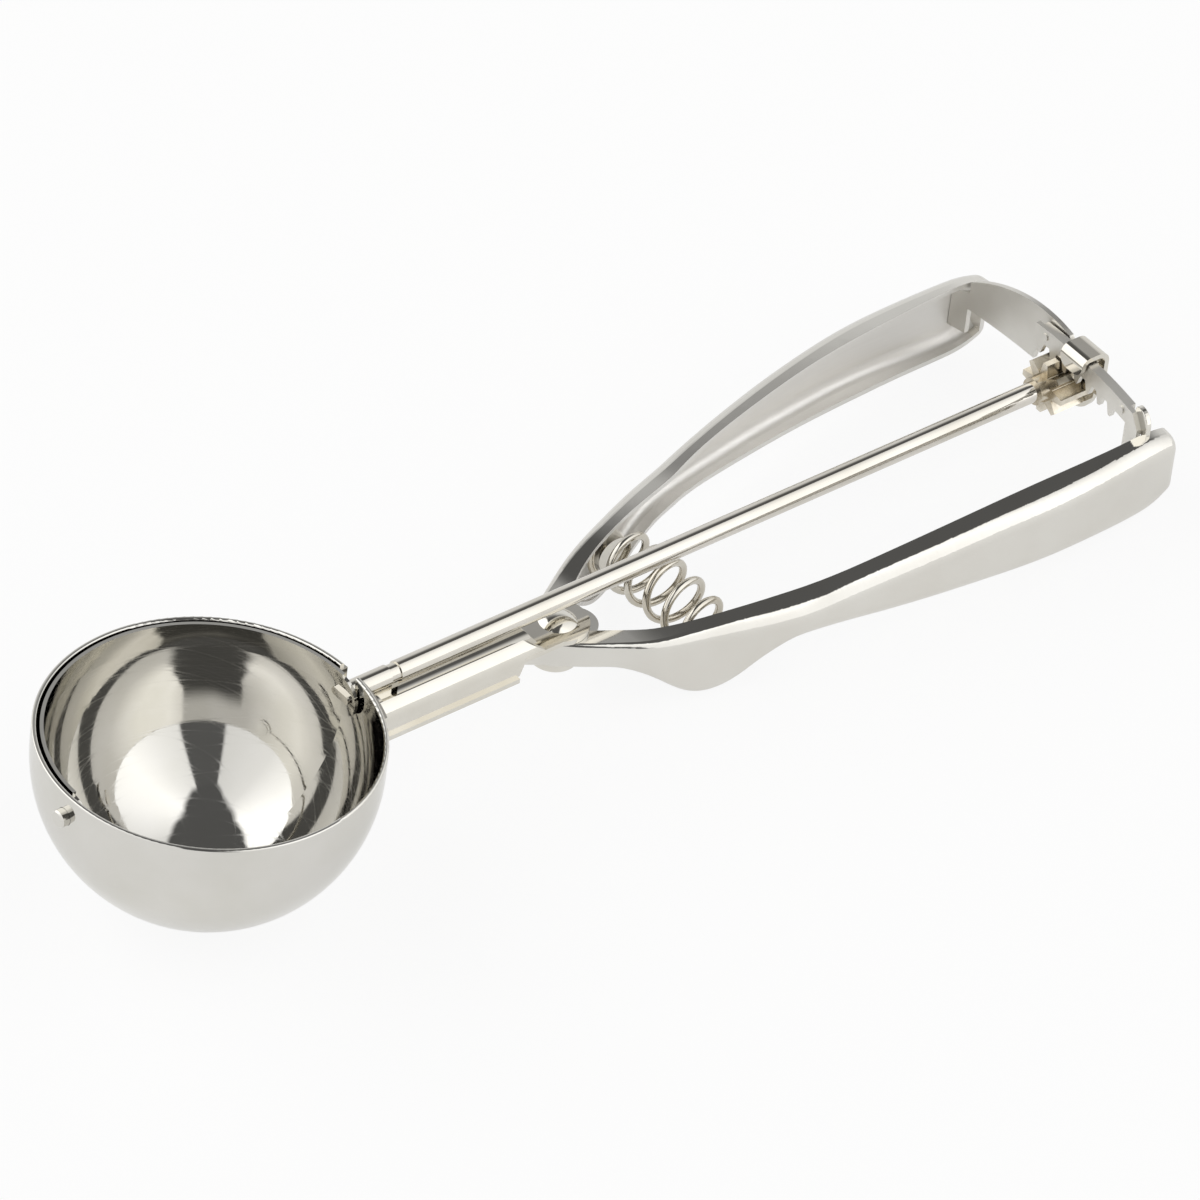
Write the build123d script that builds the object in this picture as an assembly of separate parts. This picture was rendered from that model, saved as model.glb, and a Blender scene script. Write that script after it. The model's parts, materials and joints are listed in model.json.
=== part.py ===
from build123d import *
from math import asin, atan2, cos, degrees, hypot, pi, radians, sin, sqrt, tan
import os

os.makedirs("parts", exist_ok=True)

# A squeeze-handle ice cream scoop in stainless steel, in millimetres and degrees.
# It is modelled along its own axes: the origin is the bowl's centre, X runs along the
# rod to the handle ends, Y points to the fixed handle and Z up out of the bowl's mouth.

# Fits
turning_gap = 0.05
stack_gap = 0.3
passing_gap = 0.3
sheet = 0.9

# Bowl, deep drawn, with a short straight band below its rim
bowl_radius = 28.0
bowl_wall = 0.8
rim_rise = 4.4
rim_round = 0.3
notch_gap = 0.25

# Scraper blade and its front pin
scraper_gap = 0.2
scraper_wall = 0.6
scraper_below = 0.6
scraper_under_rim = 0.15
tab_radius = 3.6
tenon_length = 4.2
tenon_width = 1.5
tenon_proud = 0.5
pin_radius = 1.5
pin_reach = 1.4
pin_chamfer = 0.25
pin_head_radius = 2.4
pin_head = 0.5

# Rod with its retaining groove
rod_radius = 1.75
groove_x = 36.2
groove_width = 1.9
groove_radius = 1.5
rib_half_width = 1.2
journal_radius = 1.2

# Neck, a folded channel closed below by a base plate, and its saddle on the bowl
saddle_wall = 0.8
saddle_half_width = 11.0
saddle_below_rim = 1.2
saddle_depth = 12.0
saddle_round = 7.0
trough_radius = 3.05
trough_drop = 1.45
neck_half_width = 4.7
shoulder_radius = 3.1
shoulder_drop = 4.9
neck_depth = 8.7
neck_length = 60.2
neck_slant = 1.2
ramp_length = 4.0
base_lip = 0.55
ear_reach = 10.15
ear_radius = 5.3

# Pivot rivet
pivot_x = neck_length + ear_reach
rivet_radius = 2.0
rivet_head_radius = 3.2
rivet_head = 1.1
foot_radius = 4.2
foot_height = 1.9
lever_ear_radius = 4.6
fixed_ear_radius = 3.5
fixed_tail_radius = 4.0
fixed_tail_reach = 3.6
fixed_ear_space = 0.6
ear_step = 0.03

# Pressed handles: reach from the pivot along X, then the distance or height there
grip_front = -6.6
grip_length = 108.4
grip_web = [(-6.6, 1.15), (-4.9, 2.2), (0.0, 6.0), (5.5, 9.5), (11.2, 12.8), (20.0, 16.0),
            (32.0, 19.9), (46.6, 22.9), (60.5, 25.2), (85.0, 27.4), (104.0, 26.6), (108.4, 26.1)]
grip_lip = [(-6.6, 0.1), (-3.0, 0.3), (0.0, 2.0), (3.0, 3.6), (7.5, 6.2), (13.1, 9.6),
            (19.3, 12.0), (26.0, 14.0), (36.0, 16.3), (45.0, 18.6), (76.0, 22.1), (99.0, 22.9),
            (108.4, 22.5)]
grip_top = [(8.0, None), (18.0, -4.4), (24.5, -3.5), (36.0, -2.4), (45.0, -0.4),
            (76.0, 4.1), (103.0, 5.5)]
grip_bottom = [(4.5, None), (8.3, -11.3), (11.2, -12.9), (15.0, -15.8), (18.5, -17.5),
               (21.4, -17.4), (24.5, -15.9), (28.0, -13.1), (31.6, -10.9), (35.0, -9.7),
               (40.0, -9.3)]
grip_bend = [(0.0, 0.7), (10.0, 1.2), (30.0, 2.6), (60.0, 2.9)]
grip_lean = [(10.0, 0.0), (32.0, 7.0)]
end_reach = 8.0
end_lift = 2.6
end_drop = 1.1
end_round = 1.9
smooth_run = 2.4

# Return spring between the handles
spring_reach = 22.5
spring_z = -9.9
spring_bow = 2.7
spring_radius = 4.2
wire_radius = 0.6
spring_turns = 8.5
spring_end_share = 0.3
stud_gap = 0.3
stud_length = 3.2

# Rack and pinion
module = 1.0
pinion_teeth = 8
pinion_length = 6.2
pinion_root_depth = 1.3
pinion_tip_height = 0.85
tooth_root_half = 0.95
tooth_tip_half = 0.52
rack_setback = 3.9
rack_teeth = 7
first_tooth = 1.5
rack_tip_height = 0.85
rack_root_depth = 1.25
rack_back = 3.15
rack_tooth_tip_half = 0.3
rack_tooth_root_half = 0.95
rack_tip_y = 6.2
backing_tip_y = 5.2
rack_step_y = -18.7
rack_heel_z = 6.2
rack_heel = 2.0
root_gap = 0.5
root_top_z = 3.6
root_end_z = 2.0
root_low_z = -5.0
rack_rivet_radius = 0.7
rack_rivet_proud = 0.2
collar_radius = 2.4
collar_length = 2.0

# Arm of the fixed handle with the bracket that carries the rod's end
arm_low_z = -1.0
arm_root_low_z = 0.1
arm_top_z = 8.5
arm_crown_y = 11.0
arm_crown_z = 9.5
arm_root_top_z = 5.8
arm_neck_z = 5.6
arm_neck_y = 6.6
arm_step = 1.0
arm_tip_y = -6.3
bracket_far_y = -1.6
bracket_near_y = -7.0
bracket_bend = 1.3
leg_bend = 1.8
leg_gap = 0.6
rivet_shoulder_radius = 1.2
tongue_low_z = 6.0
tongue_round = 2.0
eye_radius = 5.6
end_washer_radius = 2.3
end_washer = 0.5
rod_tip = 0.4

parts = {}


# Helpers
def through(points, x):
    """A value that runs through (x, value) points without overshoot."""
    if x <= points[0][0]:
        return points[0][1]
    if x >= points[-1][0]:
        return points[-1][1]
    rises = [(b[1] - a[1]) / (b[0] - a[0]) for a, b in zip(points, points[1:])]
    slopes = [0.0]
    for before, after in zip(rises, rises[1:]):
        slopes.append(2 * before * after / (before + after) if before * after > 0 else 0.0)
    slopes.append(rises[-1])
    i = max(k for k in range(len(rises)) if points[k][0] <= x)
    width = points[i + 1][0] - points[i][0]
    t = (x - points[i][0]) / width
    start = (2 * t**3 - 3 * t**2 + 1) * points[i][1]
    end = (3 * t**2 - 2 * t**3) * points[i + 1][1]
    lean = (t**3 - 2 * t**2 + t) * slopes[i] + (t**3 - t**2) * slopes[i + 1]
    return start + end + width * lean


def along(points, x):
    """The same with its turns eased over a short run."""
    steps = 8
    eased = [through(points, x + smooth_run * (i / steps - 0.5)) for i in range(steps + 1)]
    return sum(eased) / len(eased)


def rod_bar(radius, start, end):
    """A round bar on the rod's axis."""
    return Location((start, 0, 0), (0, 90, 0)) * Cylinder(
        radius, end - start, align=(Align.CENTER, Align.CENTER, Align.MIN))


def upright(radius, low, high, x):
    """A round bar standing on end."""
    return Pos(x, 0, low) * Cylinder(
        radius, high - low, align=(Align.CENTER, Align.CENTER, Align.MIN))


def block(low, high):
    """A box from its lowest corner to its highest."""
    size = [b - a for a, b in zip(low, high)]
    return Pos(*low) * Box(*size, align=(Align.MIN, Align.MIN, Align.MIN))


def across(profile, half_width):
    """A profile in X and Z, extruded both ways along Y."""
    return extrude(Plane.XZ * profile, half_width, both=True)


# Bowl
bowl_inside = bowl_radius - bowl_wall


def cup(radius, top):
    """A round-bottomed solid of revolution up to a level rim."""
    half = make_face([
        Line((0, -radius), (0, top)),
        Line((0, top), (radius, top)),
        Line((radius, top), (radius, 0)),
        ThreePointArc((radius, 0), (radius * sin(pi / 4), -radius * cos(pi / 4)), (0, -radius)),
    ])
    return revolve(Plane.XZ * half, Axis.Z)


notch_radius = rod_radius + notch_gap
rod_notch = rod_bar(notch_radius, bowl_radius - tab_radius, bowl_radius + tab_radius)
rod_notch += block((bowl_radius - tab_radius, -notch_radius, 0),
                   (bowl_radius + tab_radius, notch_radius, 2 * rim_rise))
bowl = cup(bowl_radius, rim_rise) - cup(bowl_inside, 2 * rim_rise)
bowl = fillet(bowl.faces().sort_by(Axis.Z)[-1].edges(), rim_round)
bowl -= rod_notch
bowl -= rod_bar(pin_radius + turning_gap, -bowl_radius - tab_radius, -bowl_radius / 2)
parts["bowl"] = bowl

# Scraper: a strip of a slightly smaller sphere with a round tab at each end
scraper_radius = bowl_inside - scraper_gap
scraper_inside = scraper_radius - scraper_wall
strip = block((-bowl_radius, 0, -scraper_below),
              (bowl_radius, bowl_radius, rim_rise - scraper_under_rim))
strip += rod_bar(tab_radius, -bowl_radius, bowl_radius)
scraper = (Sphere(scraper_radius) - Sphere(scraper_inside)) & strip
tenon_face = Plane.YZ * SlotOverall(tenon_length, tenon_width)
tenon_start = scraper_inside - tenon_proud
tenon = Pos(tenon_start, 0, 0) * extrude(tenon_face, scraper_radius + turning_gap - tenon_start)
scraper -= tenon
scraper -= rod_bar(pin_radius, -bowl_radius, -bowl_radius / 2)
parts["scraper"] = scraper

# Pin at the front of the scraper, peened inside and chamfered outside the bowl
pin = rod_bar(pin_radius, -bowl_radius - pin_reach, -scraper_inside + pin_head)
pin = chamfer(pin.edges().sort_by(Axis.X)[0], pin_chamfer)
pin_seat = -sqrt(scraper_inside**2 - pin_head_radius**2)
pin += rod_bar(pin_head_radius, pin_seat, pin_seat + pin_head)
parts["scraper_pin"] = pin

# Saddle: a shaped plate welded to the back of the bowl
saddle_outline = Pos(0, (rim_rise - saddle_below_rim - saddle_depth) / 2) * RectangleRounded(
    2 * saddle_half_width, rim_rise - saddle_below_rim + saddle_depth, saddle_round)
saddle_square = Pos(0, rim_rise - saddle_below_rim - saddle_round / 2) * Rectangle(
    2 * saddle_half_width, saddle_round)
saddle_shape = extrude(Plane.YZ * (saddle_outline + saddle_square), 2 * bowl_radius)
saddle = cup(bowl_radius + saddle_wall, rim_rise) - cup(bowl_radius, 2 * rim_rise)
saddle = (saddle & saddle_shape) - rod_notch
parts["neck_saddle"] = saddle

# Heights of the ears that the rivet holds, from the top down
ear_top = -trough_radius - trough_drop
lever_top = ear_top - sheet - turning_gap
fixed_top = lever_top - sheet - stack_gap
fixed_low = fixed_top - 2 * sheet - fixed_ear_space
lever_low = fixed_low - stack_gap - sheet
foot_top = lever_low - turning_gap
foot_low = foot_top - foot_height


# Neck
def arch(half_width, radius, low):
    """A channel section with round shoulders, open to a level bottom."""
    spread = neck_half_width - shoulder_radius
    section = Pos(0, (low - shoulder_drop) / 2) * Rectangle(2 * half_width, -low - shoulder_drop)
    section += Pos(0, -shoulder_drop + radius / 2) * Rectangle(2 * spread, radius)
    for side in (-1, 1):
        section += Pos(side * spread, -shoulder_drop) * Circle(radius)
    return section


def trough(radius):
    """The section of the trough that the rod lies in, open above."""
    return Pos(0, -trough_drop) * Circle(radius) + Pos(0, -trough_drop / 2) * Rectangle(
        2 * radius, trough_drop)


base_low = -neck_depth
base_top = base_low + sheet
neck_skin = arch(neck_half_width, shoulder_radius, base_top) - trough(trough_radius)
neck_hollow = arch(neck_half_width - sheet, shoulder_radius - sheet, base_low)
neck_hollow -= trough(trough_radius + sheet)
neck_reach = neck_length + ramp_length
neck = extrude(Plane.YZ * (neck_skin - neck_hollow), neck_reach)
neck_top = shoulder_radius - shoulder_drop
neck -= across(make_face(Polyline(
    (neck_length - neck_slant, base_low),
    (neck_length, ear_top - sheet),
    (neck_reach, ear_top - sheet),
    (neck_reach, ear_top),
    (neck_length, neck_top),
    (2 * neck_reach, neck_top),
    (2 * neck_reach, base_low),
    close=True)), 2 * neck_half_width)
ear_plan = Pos((neck_length + pivot_x) / 2, 0) * Rectangle(
    pivot_x - neck_length, 2 * neck_half_width)
ear_plan += Pos(pivot_x, 0) * Circle(ear_radius)
ear_plan -= Pos(pivot_x, 0) * Circle(rivet_radius)
neck += Pos(0, 0, ear_top - sheet) * extrude(ear_plan, sheet)
rib_half = groove_width / 2 - passing_gap
rib = block((groove_x - rib_half, -rib_half_width, ear_top - sheet / 2),
            (groove_x + rib_half, rib_half_width, 0))
neck += rib - rod_bar(groove_radius + turning_gap, 0, neck_length)
saddle_back = Sphere(bowl_radius + saddle_wall)
neck -= saddle_back
parts["neck_channel"] = neck

base_half = neck_half_width + base_lip
base_length = neck_length - neck_slant
base_plan = Pos(base_length / 2, 0) * Rectangle(base_length, 2 * base_half)
base = Pos(0, 0, base_low) * extrude(base_plan, sheet)
base -= saddle_back
parts["neck_base"] = base

# Pivot rivet, with a domed head above and a flat one below
dome_radius = (rivet_head_radius**2 + rivet_head**2) / (2 * rivet_head)
dome = Pos(pivot_x, 0, ear_top + rivet_head - dome_radius) * Sphere(dome_radius)
rivet = upright(rivet_radius, foot_top, ear_top, pivot_x)
rivet += dome & upright(rivet_head_radius, ear_top, 0, pivot_x)
foot = upright(foot_radius, foot_low, foot_top, pivot_x)
rivet += fillet(foot.edges().group_by(Axis.Z)[0], foot_height / 3)
parts["pivot_rivet"] = rivet


# Handles
def grip_section(reach, inset, open_side, front_top, front_low):
    """One section of a handle: a lying U with round bends, closed across its open side.

    Its upper flange falls a little from its lip to its bend."""
    tail = max(0.0, reach - grip_length + end_reach) / end_reach
    top = [(x, front_top if z is None else z) for x, z in grip_top]
    bottom = [(x, front_low if z is None else z) for x, z in grip_bottom]
    web = along(grip_web, reach) - inset
    lip = along(grip_lip, reach) - open_side
    low = along(bottom, reach) + end_lift * tail**2 + inset
    bend = max(along(grip_bend, reach) - inset, turning_gap)
    near = bend * (1 - sqrt(0.5))
    lean = radians(along(grip_lean, reach))
    flange = along(grip_web, reach) - along(grip_bend, reach) - along(grip_lip, reach)
    high = along(top, reach) - end_drop * tail**2 - inset / cos(lean)
    high += tan(lean) * (flange / 2 + open_side)
    middle = (web - bend, high - tan(lean) * (web - bend - lip) - bend / cos(lean))

    def on_bend(angle):
        return (middle[0] + bend * cos(angle), middle[1] + bend * sin(angle))

    flange_end = on_bend(pi / 2 - lean)
    face = make_face([
        Line((lip, high), flange_end),
        ThreePointArc(flange_end, on_bend(pi / 4 - lean / 2), on_bend(0)),
        Line(on_bend(0), (web, low + bend)),
        ThreePointArc((web, low + bend), (web - near, low + near), (web - bend, low)),
        Line((web - bend, low), (lip, low)),
        Line((lip, low), (lip, high)),
    ])
    return Plane((pivot_x + reach, 0, 0), x_dir=(0, 1, 0), z_dir=(1, 0, 0)) * face


def grip_stations(start, end):
    """Reaches of the sections: close together at the finger bump and the end."""
    bump_end = grip_bottom[-1][0]
    close_steps = 15
    far_steps = 6
    end_steps = 3
    straight_end = grip_length - end_reach
    reaches = [start + (bump_end - start) * i / close_steps for i in range(close_steps)]
    reaches += [bump_end + (straight_end - bump_end) * i / far_steps for i in range(far_steps)]
    reaches += [straight_end + (end - straight_end) * i / end_steps for i in range(end_steps + 1)]
    return reaches


def handle(front_top, front_low, ears, hole):
    """A pressed handle on the +Y side with its ears, and the hollow inside it."""
    body = loft([grip_section(x, 0, 0, front_top, front_low)
                 for x in grip_stations(grip_front, grip_length)])
    end_edges = body.faces().sort_by(Axis.X)[-1].edges().sort_by(Axis.Y)[1:]
    body = fillet(end_edges, end_round)
    hollow = loft([grip_section(x, sheet, 2 * ear_radius, front_top, front_low)
                   for x in grip_stations(grip_front - sheet, grip_length - sheet)])
    shell = body - hollow
    shell -= upright(foot_radius + passing_gap, 2 * foot_low, front_low - ear_step, pivot_x)
    for low in (front_low, front_top - sheet):
        for radius, reach in ears:
            shell += upright(radius, low - ear_step, low + sheet + ear_step, pivot_x + reach)
    return shell - upright(hole, 2 * foot_low, 0, pivot_x), hollow


fixed_ears = [(fixed_ear_radius, 0), (fixed_tail_radius, fixed_tail_reach)]
fixed_handle, fixed_hollow = handle(fixed_top, fixed_low, fixed_ears, rivet_radius)
lever_ears = [(lever_ear_radius, 0)]
lever_handle, lever_hollow = handle(lever_top, lever_low, lever_ears, rivet_radius + turning_gap)
parts["fixed_handle"] = fixed_handle
parts["lever_handle"] = mirror(lever_handle, Plane.XZ)

# Studs that hold the spring's ends, welded inside the handles
spring_x = pivot_x + spring_reach
spring_end = along(grip_web, spring_reach - spring_radius) - sheet - wire_radius - passing_gap
stud_radius = spring_radius - wire_radius - stud_gap
stud_bar = Location((spring_x, spring_end + wire_radius - stud_length / 2, spring_z), (-90, 0, 0))
stud_bar = stud_bar * Cylinder(stud_radius, 2 * stud_length,
                               align=(Align.CENTER, Align.CENTER, Align.MIN))
parts["fixed_spring_stud"] = stud_bar & fixed_hollow
parts["lever_spring_stud"] = mirror(stud_bar & lever_hollow, Plane.XZ)


# Spring: one wire, bowed upwards as it is squeezed between the handles
def spring_point(turn):
    """A point of the wire's centre line after so many turns from the lever's end."""
    share = turn / spring_turns
    y = spring_end * (2 * share - 1 - spring_end_share * sin(2 * pi * share) / pi)
    lift = spring_bow * (1 - cos(2 * pi * share)) / 2
    return Vector(spring_x + spring_radius * cos(2 * pi * turn), y,
                  spring_z + lift + spring_radius * sin(2 * pi * turn))


def spring_heading(turn):
    """The wire's direction there."""
    step = 1e-4
    return (spring_point(turn + step) - spring_point(turn - step)).normalized()


def biarc(start, start_way, end, end_way):
    """Two arcs that leave start and reach end in the given directions."""
    gap = end - start
    both = start_way + end_way
    a = 2 * (1 - start_way.dot(end_way))
    b = 2 * gap.dot(both)
    reach = (sqrt(b * b + 4 * a * gap.dot(gap)) - b) / (2 * a)
    first = start + start_way * reach
    second = end - end_way * reach
    middle = (first + second) / 2
    return [TangentArc(start, middle, tangent=start_way),
            TangentArc(middle, end, tangent=(second - first).normalized())]


quarters = round(4 * spring_turns)
spring_run = []
for quarter in range(quarters):
    turn = quarter / 4
    following = (quarter + 1) / 4
    spring_run += biarc(spring_point(turn), spring_heading(turn),
                        spring_point(following), spring_heading(following))
first_point = spring_point(0)
last_point = spring_point(quarters / 4)
lead_in = first_point - spring_heading(0) * (2 * wire_radius)
lead_out = last_point + spring_heading(quarters / 4) * (2 * wire_radius)
spring_path = Wire([Line(lead_in, first_point)] + spring_run + [Line(last_point, lead_out)])
spring_section = Plane(lead_in, z_dir=spring_heading(0)) * Circle(wire_radius)
parts["spring"] = sweep(spring_section, path=spring_path)

samples = [spring_point(i / 40) for i in range(10 * quarters + 1)]
spring_gap = min((samples[j] - samples[i]).length
                 for i in range(len(samples)) for j in range(i + 20, len(samples)))
print("least gap of the spring to itself", round(spring_gap - 2 * wire_radius, 2))

# Rack: a toothed strip on an arc about the pivot, welded inside the lever's end
rack_radius = grip_length - rack_setback
rack_pitch = pi * module
pinion_radius = module * pinion_teeth / 2
rack_tip_z = pinion_radius - rack_tip_height
rack_root_z = pinion_radius + rack_root_depth
rack_top_z = rack_root_z + rack_back


def lengthwise(edges):
    """A side profile in Y and Z, extruded along X over the rack and the arm."""
    return Pos(pivot_x, 0, 0) * extrude(Plane.YZ * make_face(edges), 2 * rack_radius)


def curved_strip(radius, edges):
    """A strip on an arc about the pivot, cut to a side profile."""
    ring = Circle(radius + sheet / 2) - Circle(radius - sheet / 2)
    return Pos(pivot_x, 0, root_low_z) * extrude(ring, 2 * arm_crown_z - root_low_z) & lengthwise(edges)


def root_edge(radius, side):
    """The lower end of a strip's profile, from its step before the lip to the handle's web."""
    reach = sqrt(radius**2 - along(grip_web, grip_length)**2)
    step_y = side * (along(grip_lip, reach) - root_gap)
    weld_y = side * (along(grip_web, reach) - sheet - turning_gap)
    return step_y, [(weld_y, root_low_z), (weld_y, root_end_z), (step_y, root_top_z)]


rack_edge = [(rack_tip_y, rack_top_z), (rack_tip_y, rack_root_z)]
for tooth in range(rack_teeth):
    middle = (first_tooth - tooth) * rack_pitch
    for half, z in ((rack_tooth_root_half, rack_root_z), (rack_tooth_tip_half, rack_tip_z),
                    (-rack_tooth_tip_half, rack_tip_z), (-rack_tooth_root_half, rack_root_z)):
        rack_edge.append((rack_radius * sin((middle + half) / rack_radius), z))
heel_y, rack_root = root_edge(rack_radius, -1)
rack_edge += [(rack_step_y, rack_root_z), (rack_step_y, root_low_z)] + rack_root
rack_edge += [(heel_y, rack_heel_z), (heel_y + rack_heel, rack_top_z)]
rack = curved_strip(rack_radius, Polyline(*rack_edge, close=True))

backing = curved_strip(rack_radius + sheet, Polyline(
    (backing_tip_y, rack_top_z), (backing_tip_y, rack_root_z + passing_gap),
    (rack_step_y, rack_root_z + passing_gap), (rack_step_y, rack_top_z), close=True))
backing_outside = rack_radius + 3 * sheet / 2

# Rivets that join the rack to its backing strip, one near each end
rivet_z = (rack_root_z + rack_top_z) / 2
rack_rivets = []
for rivet_y in (rack_step_y + 2 * rack_rivet_radius, backing_tip_y - 2 * rack_rivet_radius):
    turned = degrees(asin(rivet_y / rack_radius))
    bar = rod_bar(rack_rivet_radius, rack_radius - sheet / 2 - rack_rivet_proud,
                  backing_outside)
    rack_rivets.append(Pos(pivot_x, 0, rivet_z) * Rot(0, 0, turned) * bar)
for bar in rack_rivets:
    rack -= bar
    backing -= bar
parts["rack"] = rack
parts["rack_backing"] = backing
parts["rack_rivets"] = Compound(rack_rivets)

# Pinion, coarse teeth on the rod's end
gear_x = pivot_x + rack_radius
arm_radius = backing_outside + passing_gap + sheet / 2
leg_x = pivot_x + arm_radius + sheet / 2 + leg_gap
pinion_end = leg_x - passing_gap
pinion_start = pinion_end - pinion_length
pinion_root_radius = pinion_radius - pinion_root_depth
pinion_tip_radius = pinion_radius + pinion_tip_height
pinion_face = Circle(pinion_root_radius)
tooth_face = make_face(Polyline(
    (-tooth_root_half, 0), (-tooth_root_half, pinion_root_radius),
    (-tooth_tip_half, pinion_tip_radius), (tooth_tip_half, pinion_tip_radius),
    (tooth_root_half, pinion_root_radius), (tooth_root_half, 0), close=True))
for tooth in range(pinion_teeth):
    pinion_face += Rot(0, 0, 360 * tooth / pinion_teeth) * tooth_face
pinion_face -= Circle(rod_radius)
parts["pinion"] = Pos(pinion_start, 0, 0) * extrude(Plane.YZ * pinion_face, pinion_length)

collar = rod_bar(collar_radius, pinion_start - collar_length, pinion_start)
parts["pinion_collar"] = collar - rod_bar(rod_radius, 0, pinion_end)

# Rod, from its flattened end in the scraper to its journal in the bracket
leg_end = leg_x + sheet
rod = rod_bar(rod_radius, scraper_radius + turning_gap, pinion_end)
rod += tenon
rod += rod_bar(journal_radius, pinion_end, leg_end + turning_gap + end_washer + rod_tip)
groove = rod_bar(2 * rod_radius, groove_x - groove_width / 2, groove_x + groove_width / 2)
rod -= groove - rod_bar(groove_radius, 0, neck_length)
parts["rod"] = rod

washer = rod_bar(end_washer_radius, leg_end + turning_gap, leg_end + turning_gap + end_washer)
parts["rod_end_washer"] = washer - rod_bar(journal_radius, 0, 2 * leg_end)

# Arm of the fixed handle: a broad strip outside the rack, narrowed where it passes the pinion
arm_tip_top_z = arm_top_z - bracket_bend
arm_shoulder = (bracket_far_y + 2 * arm_step, arm_top_z)
arm_root_y, arm_root = root_edge(arm_radius, 1)
arm_edge = Polyline(
    arm_shoulder, (bracket_far_y + arm_step, arm_tip_top_z), (arm_tip_y, arm_tip_top_z),
    (arm_tip_y, arm_neck_z), (arm_neck_y, arm_neck_z), (arm_neck_y + arm_step, arm_low_z),
    (arm_root_y, arm_root_low_z), (arm_root_y, root_low_z), *arm_root,
    (arm_root_y, arm_root_top_z))
arm_crown = ThreePointArc((arm_root_y, arm_root_top_z), (arm_crown_y, arm_crown_z), arm_shoulder)
arm = curved_strip(arm_radius, [arm_edge, arm_crown])

# Bracket: a strap folded over the strips, with a tongue inside and a long leg outside
tongue_x = gear_x - sheet / 2 - 2 * passing_gap - sheet
strap_top = arm_top_z + passing_gap + sheet
strap_path = FilletPolyline(
    (tongue_x + sheet / 2, tongue_low_z),
    (tongue_x + sheet / 2, strap_top - sheet / 2),
    (leg_x + sheet / 2, strap_top - sheet / 2),
    (leg_x + sheet / 2, 0),
    radius=[bracket_bend, leg_bend])
bracket_width = bracket_far_y - bracket_near_y
bracket_middle = (bracket_far_y + bracket_near_y) / 2
bracket = Pos(0, bracket_middle, 0) * across(trace(strap_path, sheet), bracket_width / 2)
tongue_edges = bracket.edges().filter_by(Axis.X).sort_by(
    lambda edge: edge.center().X + abs(edge.center().Z - tongue_low_z))
bracket = fillet(tongue_edges[:2], tongue_round)
bracket += rod_bar(eye_radius, leg_x, leg_end)
bracket -= rod_bar(journal_radius + turning_gap, 0, 2 * leg_end)
bracket_rivet = Pos(0, bracket_middle, rivet_z) * rod_bar(
    rack_rivet_radius, pivot_x + arm_radius - sheet / 2, leg_end + rack_rivet_proud)
bracket_rivet += Pos(0, bracket_middle, rivet_z) * rod_bar(
    rivet_shoulder_radius, pivot_x + arm_radius + sheet / 2, leg_x)
parts["bearing_arm"] = arm - bracket_rivet
parts["rod_end_bracket"] = bracket - bracket_rivet
parts["bracket_rivet"] = bracket_rivet

# Laid down on a table: the bowl and the ends of both handles touch it
heel_x = pivot_x + grip_length - end_reach
heel_depth = -grip_bottom[-1][1]
tilt = degrees(asin(bowl_radius / hypot(heel_x, heel_depth)) - atan2(heel_depth, heel_x))
tilted = {name: Rot(0, tilt, 0) * shape for name, shape in parts.items()}
extent = Compound([solid for shape in tilted.values() for solid in shape.solids()]).bounding_box()
lay = Pos(-extent.center().X, -extent.center().Y, -extent.min.Z)
for name, shape in tilted.items():
    export_step(lay * shape, "parts/" + name + ".step")
print("laid down at", round(tilt, 3), "degrees,", [round(value, 2) for value in extent.size])
print("bowl centre at", [round(value, 3) for value in lay.position])
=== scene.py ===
import json
from math import cos, pi, radians, sin, sqrt

import bpy
from mathutils import Matrix, Vector


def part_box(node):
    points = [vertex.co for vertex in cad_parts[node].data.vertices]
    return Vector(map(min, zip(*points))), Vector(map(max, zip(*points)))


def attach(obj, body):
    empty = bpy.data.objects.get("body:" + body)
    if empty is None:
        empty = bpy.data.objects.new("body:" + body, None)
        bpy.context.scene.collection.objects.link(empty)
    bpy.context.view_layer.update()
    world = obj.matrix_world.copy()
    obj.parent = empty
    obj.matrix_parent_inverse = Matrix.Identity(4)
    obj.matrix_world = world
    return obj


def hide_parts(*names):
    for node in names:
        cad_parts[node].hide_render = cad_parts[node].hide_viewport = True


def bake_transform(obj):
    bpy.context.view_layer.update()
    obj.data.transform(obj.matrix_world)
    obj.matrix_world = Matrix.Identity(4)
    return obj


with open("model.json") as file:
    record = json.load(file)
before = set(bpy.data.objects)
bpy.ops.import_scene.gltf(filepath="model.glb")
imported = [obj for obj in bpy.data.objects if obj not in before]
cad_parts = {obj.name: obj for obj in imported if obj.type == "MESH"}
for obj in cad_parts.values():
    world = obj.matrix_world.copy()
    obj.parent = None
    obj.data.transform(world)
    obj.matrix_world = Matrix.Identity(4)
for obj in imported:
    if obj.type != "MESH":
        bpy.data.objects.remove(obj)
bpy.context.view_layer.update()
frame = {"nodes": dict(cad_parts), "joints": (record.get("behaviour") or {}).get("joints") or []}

# Bowl: a hemisphere with a short straight band, deep drawn from stainless sheet and
# then mirror polished on a spindle. The neck's saddle is spot welded to its back.
mm = 0.001
nodes = frame["nodes"]
joints = {joint["name"]: joint for joint in frame["joints"]}
bowl_centre = Vector(joints["scraper_turn"]["pos_m"])
rod_way = Vector(joints["scraper_turn"]["axis"])
mouth_way = Vector(joints["lever_hinge"]["axis"])
side_way = mouth_way.cross(rod_way)


def colour(hex_code):
    """An sRGB hex colour as linear RGBA."""
    shares = [int(hex_code[i:i + 2], 16) / 255 for i in (1, 3, 5)]
    return [s / 12.92 if s <= 0.04045 else ((s + 0.055) / 1.055) ** 2.4 for s in shares] + [1.0]


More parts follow.
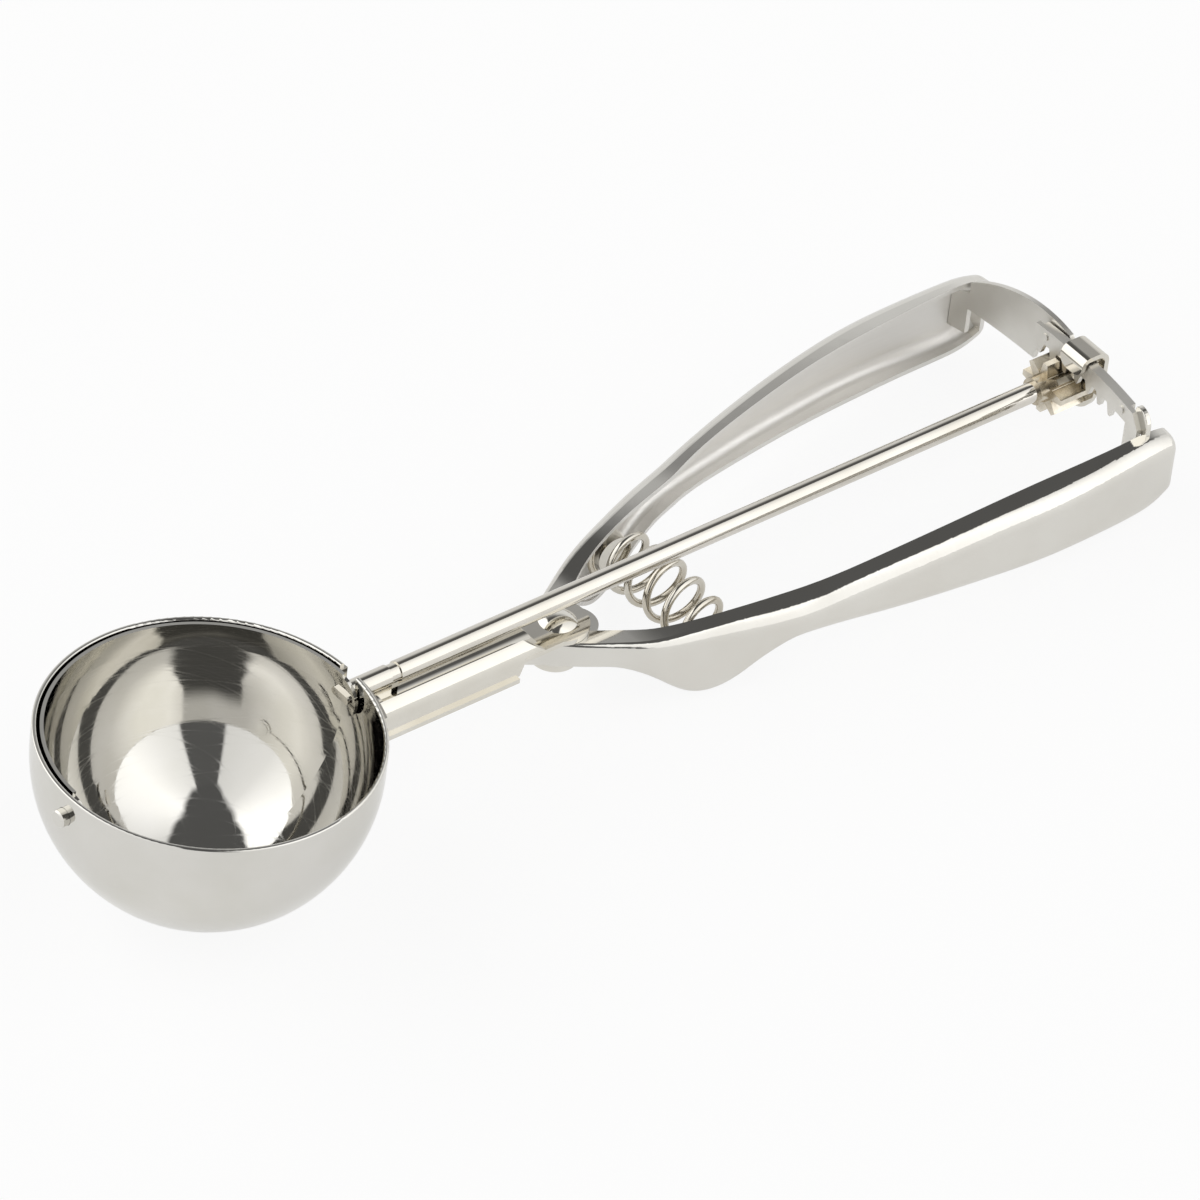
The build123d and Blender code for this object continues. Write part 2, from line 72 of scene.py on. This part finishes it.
def add_node(tree, kind, inputs=None, **settings):
    """A new node with its settings, and each input set or linked."""
    made = tree.nodes.new(kind)
    for name, value in settings.items():
        setattr(made, name, value)
    for name, value in (inputs or {}).items():
        if isinstance(value, bpy.types.NodeSocket):
            tree.links.new(value, made.inputs[name])
        else:
            made.inputs[name].default_value = value
    return made


def bare_metal(name, shade, stain, stain_size):
    """A metal whose colour drifts between two shades: its tree, shader and coordinates."""
    still_clean = 0.35
    fully_stained = 0.7
    made = bpy.data.materials.new(name)
    made.use_nodes = True
    tree = made.node_tree
    shader = tree.nodes["Principled BSDF"]
    shader.inputs["Metallic"].default_value = 1.0
    place = add_node(tree, "ShaderNodeTexCoord").outputs["Object"]
    drift = add_node(tree, "ShaderNodeTexNoise",
                     {"Vector": place, "Scale": 1 / stain_size, "Detail": 3.0})
    drift = add_node(tree, "ShaderNodeMapRange",
                     {"Value": drift.outputs["Fac"], "From Min": still_clean, "From Max": fully_stained})
    tint = add_node(tree, "ShaderNodeMixRGB", {"Fac": drift.outputs["Result"], "Color1": colour(shade),
                                               "Color2": colour(stain)})
    tree.links.new(tint.outputs["Color"], shader.inputs["Base Color"])
    return made, tree, shader, place


def finish(material, *names):
    """Gives CAD nodes their finish."""
    for name in names:
        slots = nodes[name].data.materials
        slots.clear()
        slots.append(material)


# Spun and mirror-polished stainless steel: sharp warm-white reflections, slightly wavy from
# the drawing, with rings left by the mop and arcs that cross them at a slant. The real
# scratches are finer than a pixel, so they are drawn 0.4 mm apart to show.
draw_wave = 9 * mm
draw_depth = 0.2 * mm
draw_strength = 0.12
mop_line = 0.4 * mm
mop_strength = 0.035
mop_slants = (0, 24, -17)
scratch_depth = 0.02 * mm
faint_scratch = 0.5
full_scratch = 0.75
mirror_roughness = 0.02
scratched_roughness = 0.13
spun_steel, tree, shader, place = bare_metal("spun_polished_stainless", "#D9D7D2", "#D3D1CA",
                                             stain_size=14 * mm)
from_centre = add_node(tree, "ShaderNodeVectorMath", {0: place, 1: bowl_centre}, operation="SUBTRACT")
waves = add_node(tree, "ShaderNodeTexNoise", {"Vector": place, "Scale": 1 / draw_wave, "Detail": 1.0})
bump = add_node(tree, "ShaderNodeBump", {"Height": waves.outputs["Fac"], "Strength": draw_strength,
                                         "Distance": draw_depth})
normal = bump.outputs["Normal"]
marks = None
for slant in mop_slants:
    axis = Matrix.Rotation(radians(slant), 3, rod_way) @ mouth_way
    height = add_node(tree, "ShaderNodeVectorMath", {0: from_centre.outputs[0], 1: axis},
                      operation="DOT_PRODUCT")
    rings = add_node(tree, "ShaderNodeTexNoise",
                     {"W": height.outputs["Value"], "Scale": 1 / mop_line, "Detail": 3.0},
                     noise_dimensions="1D").outputs["Fac"]
    bump = add_node(tree, "ShaderNodeBump", {"Height": rings, "Strength": mop_strength,
                                             "Distance": scratch_depth, "Normal": normal})
    normal = bump.outputs["Normal"]
    if marks is None:
        marks = rings
    else:
        most = add_node(tree, "ShaderNodeMath", {0: marks, 1: rings}, operation="MAXIMUM")
        marks = most.outputs["Value"]
tree.links.new(normal, shader.inputs["Normal"])
haze = add_node(tree, "ShaderNodeMapRange",
                {"Value": marks, "From Min": faint_scratch, "From Max": full_scratch,
                 "To Min": mirror_roughness, "To Max": scratched_roughness})
tree.links.new(haze.outputs["Result"], shader.inputs["Roughness"])
finish(spun_steel, "bowl")

# Scraper: a spring-hard stainless strip that hugs the bowl, polished with it, with a pin
# peened into its front tab.
finish(spun_steel, "scraper", "scraper_pin")

# Neck: a folded stainless channel on a saddle plate, closed below by a base plate, all
# welded and then buffed along its length. The rivet through its ear is buffed with it.
smooth_line = 0.3
rough_line = 0.7


def lined(tree, place, line_width, line_length, strength):
    """Lines drawn out along the scoop: their noise and the bump that they make."""
    ways = (rod_way / line_length, side_way / line_width, mouth_way / line_width)
    turned = [add_node(tree, "ShaderNodeVectorMath", {0: place, 1: way},
                       operation="DOT_PRODUCT").outputs["Value"] for way in ways]
    lines_place = add_node(tree, "ShaderNodeCombineXYZ", dict(zip("XYZ", turned)))
    lines = add_node(tree, "ShaderNodeTexNoise",
                     {"Vector": lines_place.outputs["Vector"], "Scale": 1.0, "Detail": 4.0})
    bump = add_node(tree, "ShaderNodeBump", {"Height": lines.outputs["Fac"], "Strength": strength,
                                             "Distance": scratch_depth})
    return lines.outputs["Fac"], bump.outputs["Normal"]


def buffed(name, shade, stain, roughness, line_width, line_length, strength, spread=0.4):
    """Steel buffed along the scoop: long fine lines in its polish."""
    made, tree, shader, place = bare_metal(name, shade, stain, stain_size=12 * mm)
    lines, normal = lined(tree, place, line_width, line_length, strength)
    tree.links.new(normal, shader.inputs["Normal"])
    haze = add_node(tree, "ShaderNodeMapRange",
                    {"Value": lines, "From Min": smooth_line, "From Max": rough_line,
                     "To Min": (1 - spread) * roughness, "To Max": (1 + spread) * roughness})
    tree.links.new(haze.outputs["Result"], shader.inputs["Roughness"])
    return made


# Buffed stainless steel: a clear reflection drawn out by fine lines along the neck. Here and
# on the other buffed pieces the lines are drawn coarser than the grit's, so that they show.
buffed_steel = buffed("buffed_stainless", "#E0DDD5", "#D8D4CA", roughness=0.07,
                      line_width=0.3 * mm, line_length=14 * mm, strength=0.03)
finish(buffed_steel, "neck_saddle", "neck_channel", "neck_base", "pivot_rivet")

# Handles: two channels pressed from stainless sheet, one fixed and one turning on the rivet,
# polished outside and left satin inside, with studs welded in for the spring.
channel_middle = -7 * mm
web_edge = -0.15
web_inner_face = -0.35
flange_edge = -0.2
flange_inner_face = -0.4
grain_size = 0.5 * mm
grain_depth = 0.03 * mm
grain_strength = 0.05
polished_roughness = (0.04, 0.1)
satin_roughness = (0.36, 0.48)


def pressed_channel(name, outward):
    """A pressed handle's steel: buffed outside, satin where it faces into the channel, and painted lighter
    there.
    """
    made, tree, shader, place = bare_metal(name, "#E1DFD9", "#DAD7D0", stain_size=18 * mm)
    facing = add_node(tree, "ShaderNodeNewGeometry").outputs["Normal"]
    out = add_node(tree, "ShaderNodeVectorMath", {0: facing, 1: outward}, operation="DOT_PRODUCT")
    web_inside = add_node(tree, "ShaderNodeMapRange", {"Value": out.outputs["Value"], "From Min": web_edge,
                                                       "From Max": web_inner_face})
    up = add_node(tree, "ShaderNodeVectorMath", {0: facing, 1: mouth_way}, operation="DOT_PRODUCT")
    rise = add_node(tree, "ShaderNodeVectorMath", {0: place, 1: mouth_way}, operation="DOT_PRODUCT")
    above = add_node(tree, "ShaderNodeMath",
                     {0: rise.outputs["Value"], 1: bowl_centre.dot(mouth_way) + channel_middle},
                     operation="SUBTRACT")
    half = add_node(tree, "ShaderNodeMath", {0: above.outputs["Value"]}, operation="SIGN")
    turned_in = add_node(tree, "ShaderNodeMath", {0: up.outputs["Value"], 1: half.outputs["Value"]},
                         operation="MULTIPLY")
    flange_inside = add_node(tree, "ShaderNodeMapRange",
                             {"Value": turned_in.outputs["Value"], "From Min": flange_edge,
                              "From Max": flange_inner_face})
    inside = add_node(tree, "ShaderNodeMath", {0: web_inside.outputs["Result"],
                                               1: flange_inside.outputs["Result"]}, operation="MAXIMUM")
    lines, normal = lined(tree, place, line_width=0.35 * mm, line_length=16 * mm, strength=0.012)
    grain = add_node(tree, "ShaderNodeTexNoise", {"Vector": place, "Scale": 1 / grain_size, "Detail": 2.0})
    grain_inside = add_node(tree, "ShaderNodeMath", {0: inside.outputs["Value"], 1: grain_strength},
                            operation="MULTIPLY")
    satin = add_node(tree, "ShaderNodeBump",
                     {"Height": grain.outputs["Fac"], "Strength": grain_inside.outputs["Value"],
                      "Distance": grain_depth, "Normal": normal})
    tree.links.new(satin.outputs["Normal"], shader.inputs["Normal"])
    polished_haze, satin_haze = [
        add_node(tree, "ShaderNodeMapRange",
                 {"Value": lines, "From Min": smooth_line, "From Max": rough_line,
                  "To Min": least, "To Max": most}).outputs["Result"]
        for least, most in (polished_roughness, satin_roughness)]
    haze = add_node(tree, "ShaderNodeMix", {"Factor": inside.outputs["Value"], "A": polished_haze,
                                            "B": satin_haze})
    tree.links.new(haze.outputs["Result"], shader.inputs["Roughness"])
    # Painted light: the faces inside the channel get a lighter, more neutral base colour than the outside,
    # which lifts the shade that falls in there.
    mopped = shader.inputs["Base Color"].links[0].from_socket
    tint = add_node(tree, "ShaderNodeMixRGB", {"Fac": inside.outputs["Value"], "Color1": mopped,
                                               "Color2": colour("#E4E2DE")})
    tree.links.new(tint.outputs["Color"], shader.inputs["Base Color"])
    return made


# Pressed stainless sheet: a mirror outside with lines along the handle, and a grey satin
# inside where the mop didn't reach, its base colour painted lighter to lift the shade there. The satin's
# grain is drawn 0.5 mm wide so that it shows.
finish(pressed_channel("pressed_stainless_far", side_way), "fixed_handle")
finish(pressed_channel("pressed_stainless_near", -side_way), "lever_handle")
finish(buffed_steel, "fixed_spring_stud", "lever_spring_stud")

# Rod: bright drawn stainless bar, grooved for the neck's rib, with its washer peened on.
# The die leaves hairlines that run its whole length.
bright_bar = buffed("bright_drawn_stainless", "#DDD9D1", "#D3CFC5", roughness=0.08,
                    line_width=0.25 * mm, line_length=30 * mm, strength=0.04)
finish(bright_bar, "rod", "rod_end_washer")

# Rack and arm: strips sheared from satin stainless sheet and welded inside the handles' ends.
# Their faces keep the mill's soft grey grain.
satin_strip = buffed("satin_stainless", "#E6E4DE", "#D6D3CC", roughness=0.34,
                     line_width=0.6 * mm, line_length=4 * mm, strength=0.003, spread=0.12)
finish(satin_strip, "rack", "rack_backing", "rack_rivets", "bearing_arm")

# Rack's end lug: a round-topped tab sheared from the same sheet and polished on its edges,
# welded behind the rack's root so that it stands on the lever's lip. Its two faces are arcs
# about the hinge, and its sides, foot and top are measured from the bowl's centre.
lug_inner_arc = 104.96 * mm
lug_outer_arc = 105.85 * mm
lug_low = 5.2 * mm
lug_top = 9.8 * mm
lug_far = -19.9 * mm
lug_near = -24.1 * mm
far_corner = 1.4 * mm
near_corner = 2.4 * mm
corner_steps = 8
worn_edge = 0.12 * mm
hinge = Vector(joints["lever_hinge"]["pos_m"])
hinge_reach = (hinge - bowl_centre).dot(rod_way)
outline = [(lug_far, lug_low)]
for first_angle, corner_y, radius in ((0, lug_far - far_corner, far_corner),
                                      (90, lug_near + near_corner, near_corner)):
    for step in range(corner_steps + 1):
        angle = radians(first_angle + 90 * step / corner_steps)
        outline.append((corner_y + radius * cos(angle), lug_top - radius + radius * sin(angle)))
outline.append((lug_near, lug_low))
count = len(outline)
points = [bowl_centre + (hinge_reach + sqrt(arc ** 2 - y ** 2)) * rod_way + y * side_way + z * mouth_way
          for arc in (lug_inner_arc, lug_outer_arc) for y, z in outline]
faces = [list(reversed(range(count))), list(range(count, 2 * count))]
for i in range(count):
    following = (i + 1) % count
    faces.append([i, following, count + following, count + i])
lug_mesh = bpy.data.meshes.new("rack_end_lug")
lug_mesh.from_pydata(points, [], faces)
lug_mesh.materials.append(buffed_steel)
lug = bpy.data.objects.new("rack_end_lug", lug_mesh)
bpy.context.scene.collection.objects.link(lug)
rounding = lug.modifiers.new("worn_edge", "BEVEL")
rounding.width = worn_edge
rounding.segments = 2
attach(lug, "lever")

# Bracket: a polished strap folded over both strips and riveted to the arm, with the rod's
# end bearing in its long leg.
finish(buffed_steel, "rod_end_bracket", "bracket_rivet")

# Pinion and collar: sintered steel gear and ring, nickel plated and pressed on the rod,
# with the gear's teeth open to the rack.
tooth_tip = 4.6 * mm
tooth_root = 2.9 * mm
spot_size = 1.2 * mm
pore_depth = 0.05 * mm
pore_strength = 0.15
plate_roughness = 0.12
spotted_roughness = 0.34

# Nickel plate on sintered steel: a warm satin, a little pitted by the pores beneath, and a
# darker brown in spots towards the roots of the teeth.
nickel, tree, shader, place = bare_metal("nickel_plated_steel", "#E9E3D6", "#D9D0BE", stain_size=1.5 * mm)
plate = shader.inputs["Base Color"].links[0].from_socket
from_centre = add_node(tree, "ShaderNodeVectorMath", {0: place, 1: bowl_centre}, operation="SUBTRACT")
on_axis = add_node(tree, "ShaderNodeVectorMath", {0: from_centre.outputs[0], 1: rod_way},
                   operation="PROJECT")
off_axis = add_node(tree, "ShaderNodeVectorMath", {0: from_centre.outputs[0], 1: on_axis.outputs[0]},
                    operation="SUBTRACT")
out = add_node(tree, "ShaderNodeVectorMath", {0: off_axis.outputs[0]}, operation="LENGTH")
spots = add_node(tree, "ShaderNodeTexNoise", {"Vector": place, "Scale": 1 / spot_size, "Detail": 3.0})
depth = add_node(tree, "ShaderNodeMapRange", {"Value": out.outputs["Value"], "From Min": tooth_tip,
                                              "From Max": tooth_root})
# Darker brown in spots, more so towards the roots of the teeth.
root_darkening = add_node(tree, "ShaderNodeMath", {0: depth.outputs["Result"], 1: spots.outputs["Fac"]},
                  operation="MULTIPLY")
darkened = add_node(tree, "ShaderNodeMixRGB", {"Fac": root_darkening.outputs["Value"], "Color1": plate,
                                             "Color2": colour("#A0937A")})
tree.links.new(darkened.outputs["Color"], shader.inputs["Base Color"])
haze = add_node(tree, "ShaderNodeMapRange", {"Value": spots.outputs["Fac"], "To Min": plate_roughness,
                                             "To Max": spotted_roughness})
tree.links.new(haze.outputs["Result"], shader.inputs["Roughness"])
pores = add_node(tree, "ShaderNodeBump", {"Height": spots.outputs["Fac"], "Strength": pore_strength,
                                          "Distance": pore_depth})
tree.links.new(pores.outputs["Normal"], shader.inputs["Normal"])
finish(nickel, "pinion", "pinion_collar")

# Return spring: one length of bright spring wire, coiled openly between the handles' studs.
# It bows a little upwards. The real one shortens as the lever closes; this one is built at rest.
wire_radius = 0.67 * mm
wire_tail = 2 * wire_radius
coil_radius = 4.7 * mm
coil_reach = 22.5 * mm
coil_height = -9.3 * mm
coil_bow = 1.4 * mm
coil_turns = 5.75
first_turn = 0.85
steps_a_turn = 36
wire_sides = 12
coil_x = hinge_reach + coil_reach
coil_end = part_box("spring")[1].y - wire_radius


def coil_outward(turn):
    """Which way the wire lies from the coil's middle there."""
    angle = -2 * pi * (turn + first_turn)
    return cos(angle) * rod_way + sin(angle) * mouth_way


def coil_middle(share):
    """The coil's middle, so much of its length from the lever's end."""
    lift = coil_bow * (1 - cos(2 * pi * share)) / 2
    return (bowl_centre + coil_x * rod_way + coil_end * (2 * share - 1) * side_way
            + (coil_height + lift) * mouth_way)


def coil_point(turn):
    """A point on the wire's centre line, so many turns from the lever's end."""
    return coil_middle(turn / coil_turns) + coil_radius * coil_outward(turn)


def coil_heading(turn):
    """The wire's direction there."""
    step = 1e-4
    return (coil_point(turn + step) - coil_point(turn - step)).normalized()


last_step = round(coil_turns * steps_a_turn)
stations = [(coil_point(i / steps_a_turn), i / steps_a_turn) for i in range(last_step + 1)]
stations.insert(0, (coil_point(0) - coil_heading(0) * wire_tail, 0))
stations.append((coil_point(coil_turns) + coil_heading(coil_turns) * wire_tail, coil_turns))
points = []
for middle, turn in stations:
    heading = coil_heading(turn)
    outward = coil_outward(turn)
    outward = (outward - outward.dot(heading) * heading).normalized()
    beside = heading.cross(outward)
    for i in range(wire_sides):
        angle = 2 * pi * i / wire_sides
        points.append(middle + wire_radius * (cos(angle) * outward + sin(angle) * beside))
faces = [list(reversed(range(wire_sides))),
         list(range(len(points) - wire_sides, len(points)))]
for ring in range(len(stations) - 1):
    for i in range(wire_sides):
        following = (i + 1) % wire_sides
        low = ring * wire_sides
        faces.append([low + i, low + following, low + wire_sides + following, low + wire_sides + i])
wire_mesh = bpy.data.meshes.new("return_spring")
wire_mesh.from_pydata(points, [], faces)
wire_mesh.shade_smooth()
spring = bpy.data.objects.new("return_spring", wire_mesh)
bpy.context.scene.collection.objects.link(spring)

# Bright spring wire: a hard polish with streaks of the drawing die and a little straw
# tint from its heat treatment.
spring_wire = buffed("bright_spring_wire", "#D6D2C8", "#C4BCAC", roughness=0.08,
                     line_width=0.3 * mm, line_length=3 * mm, strength=0.05)
wire_mesh.materials.append(spring_wire)
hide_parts("spring")
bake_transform(spring)

# Studio: white walls round the scoop, a dark ceiling, a dark slit at the front where the
# camera looks in and a grey far side that fades upwards. They draw the bands in the polish.
# A stop is a bearing in degrees, with the wall's light, or its top or blur in degrees.
wall_light = [(-180, 1.10), (-157, 1.00), (-140, 0.95), (-138, 0.12), (-107, 0.12), (-105, 1.12),
              (-82, 1.30), (-60, 1.57), (-37, 1.44), (-22, 1.27), (-7, 1.12), (8, 0.89), (81, 0.82),
              (84, 1.40), (98, 1.70), (135, 1.70), (150, 1.52), (180, 1.10)]
wall_top = [(-180, 75), (-157, 72), (-140, 65), (-97, 67), (-82, 70), (-55, 73), (-37, 72), (-22, 68),
            (-7, 64), (6, 57), (16, 28), (30, 28), (45, 34), (80, 35), (84, 47), (98, 61), (120, 70),
            (135, 74), (180, 75)]
wall_blur = [(-180, 2.5), (8, 2.5), (18, 15), (79, 15), (84, 2.5), (180, 2.5)]
dark_ceiling = 0.11
world = bpy.data.worlds.new("studio")
bpy.context.scene.world = world
world.use_nodes = True
tree = world.node_tree
background = tree.nodes["Background"]
background.inputs["Color"].default_value = colour("#FFFFFF")
outlook = add_node(tree, "ShaderNodeTexCoord").outputs["Generated"]
outlook = add_node(tree, "ShaderNodeSeparateXYZ", {"Vector": outlook})
bearing = add_node(tree, "ShaderNodeMath", {0: outlook.outputs["Y"], 1: outlook.outputs["X"]},
                   operation="ARCTAN2")
bearing = add_node(tree, "ShaderNodeMapRange",
                   {"Value": bearing.outputs["Value"], "From Min": -pi, "From Max": pi})


def round_the_room(stops, most):
    """A value that changes round the room, from its stops. None of them is over the most."""
    ramp = add_node(tree, "ShaderNodeValToRGB", {"Fac": bearing.outputs["Result"]})
    elements = ramp.color_ramp.elements
    while len(elements) < len(stops):
        elements.new(1.0)
    for element, (degrees_round, value) in zip(elements, stops):
        element.position = degrees_round / 360 + 0.5
        element.color = [value / most] * 3 + [1.0]
    return add_node(tree, "ShaderNodeMath", {0: ramp.outputs["Color"], 1: most}, operation="MULTIPLY")


light = round_the_room(wall_light, most=2.0)
top = round_the_room(wall_top, most=90.0)
blur = round_the_room(wall_blur, most=20.0)
rise = add_node(tree, "ShaderNodeMath", {0: outlook.outputs["Z"]}, operation="ARCSINE")
rise = add_node(tree, "ShaderNodeMath", {0: rise.outputs["Value"]}, operation="DEGREES")
above = add_node(tree, "ShaderNodeMath", {0: rise.outputs["Value"], 1: top.outputs["Value"]},
                 operation="SUBTRACT")
past_edge = add_node(tree, "ShaderNodeMath", {0: above.outputs["Value"], 1: blur.outputs["Value"]},
                     operation="DIVIDE")
ceiling = add_node(tree, "ShaderNodeMapRange",
                   {"Value": past_edge.outputs["Value"], "From Min": -1.0, "From Max": 1.0},
                   interpolation_type="SMOOTHSTEP")
room = add_node(tree, "ShaderNodeMix",
                {"Factor": ceiling.outputs["Result"], "A": light.outputs["Value"], "B": dark_ceiling})
seen = add_node(tree, "ShaderNodeLightPath")
strength = add_node(tree, "ShaderNodeMix",
                    {"Factor": seen.outputs["Is Camera Ray"], "A": room.outputs["Result"], "B": 1.0})
tree.links.new(strength.outputs["Result"], background.inputs["Strength"])

# Floor: a matt white acrylic sheet that keeps the object's shadow. The eye and the steel
# both see it nearly as white as paper, and the steel sees painted shade that greys it at the back.
floor_size = 8
floor_to_camera = 0.88
floor_to_steel = 0.5
front_glow = 1.0
back_glow = 0.85
glow_way = Vector((-0.68, -0.73, 0))
front_edge = -20 * mm
back_edge = -160 * mm
bpy.ops.mesh.primitive_plane_add(size=floor_size)
floor = bpy.context.object
floor.name = "floor"
white_sheet = bpy.data.materials.new("white_acrylic_sheet")
white_sheet.use_nodes = True
tree = white_sheet.node_tree
shader = tree.nodes["Principled BSDF"]
shader.inputs["Base Color"].default_value = colour("#F8F8F7")
shader.inputs["Roughness"].default_value = 0.4
place = add_node(tree, "ShaderNodeNewGeometry").outputs["Position"]
# Painted shade: the glow that the steel sees fades from the front to a greyer back.
forward = add_node(tree, "ShaderNodeVectorMath", {0: place, 1: glow_way}, operation="DOT_PRODUCT")
painted_falloff = add_node(tree, "ShaderNodeMapRange",
                {"Value": forward.outputs["Value"], "From Min": back_edge, "From Max": front_edge,
                 "To Min": back_glow, "To Max": front_glow})
seen = add_node(tree, "ShaderNodeLightPath")
glow = add_node(tree, "ShaderNodeMix",
                {"Factor": seen.outputs["Is Camera Ray"], "A": painted_falloff.outputs["Result"], "B": 1.0})
glow = add_node(tree, "ShaderNodeEmission", {"Strength": glow.outputs["Result"]})
share = add_node(tree, "ShaderNodeMath", {0: seen.outputs["Is Camera Ray"], 1: floor_to_camera},
                 operation="MULTIPLY")
share = add_node(tree, "ShaderNodeMath",
                 {0: seen.outputs["Is Glossy Ray"], 1: floor_to_steel, 2: share.outputs["Value"]},
                 operation="MULTIPLY_ADD")
mixed = add_node(tree, "ShaderNodeMixShader",
                 {0: share.outputs["Value"], 1: shader.outputs["BSDF"], 2: glow.outputs["Emission"]})
tree.links.new(mixed.outputs["Shader"], tree.nodes["Material Output"].inputs["Surface"])
floor.data.materials.append(white_sheet)

# Camera: the photograph's view, a long lens from the near left and above. Its turn and
# aim, in the scoop's own axes, were fitted to the scoop's outline.
view_turn = radians(-43.158)
view_rise = radians(39.885)
view_roll = radians(7.279)
view_distance = 1784 * mm
aim_right = 61.16 * mm
aim_up = 23.93 * mm
frame_pixels = 1200
pixels_per_mm = 6.403
to_camera = Vector((sin(view_turn) * cos(view_rise), -cos(view_turn) * cos(view_rise), sin(view_rise)))
level = Vector((cos(view_turn), sin(view_turn), 0))
upward = to_camera.cross(level)
right = cos(view_roll) * level + sin(view_roll) * upward
up = to_camera.cross(right)
stand = aim_right * right + aim_up * up + view_distance * to_camera
lens = bpy.data.cameras.new("camera")
lens.sensor_width = 36.0
lens.lens = lens.sensor_width * pixels_per_mm * (view_distance / mm) / frame_pixels
camera = bpy.data.objects.new("camera", lens)
bpy.context.scene.collection.objects.link(camera)
scoop_turn = Matrix((rod_way, side_way, mouth_way)).transposed()
camera.matrix_world = Matrix.Translation(bowl_centre + scoop_turn @ stand) @ (
    scoop_turn @ Matrix((right, up, to_camera)).transposed()).to_4x4()
bpy.context.scene.camera = camera
bpy.context.scene.view_settings.view_transform = "Standard"
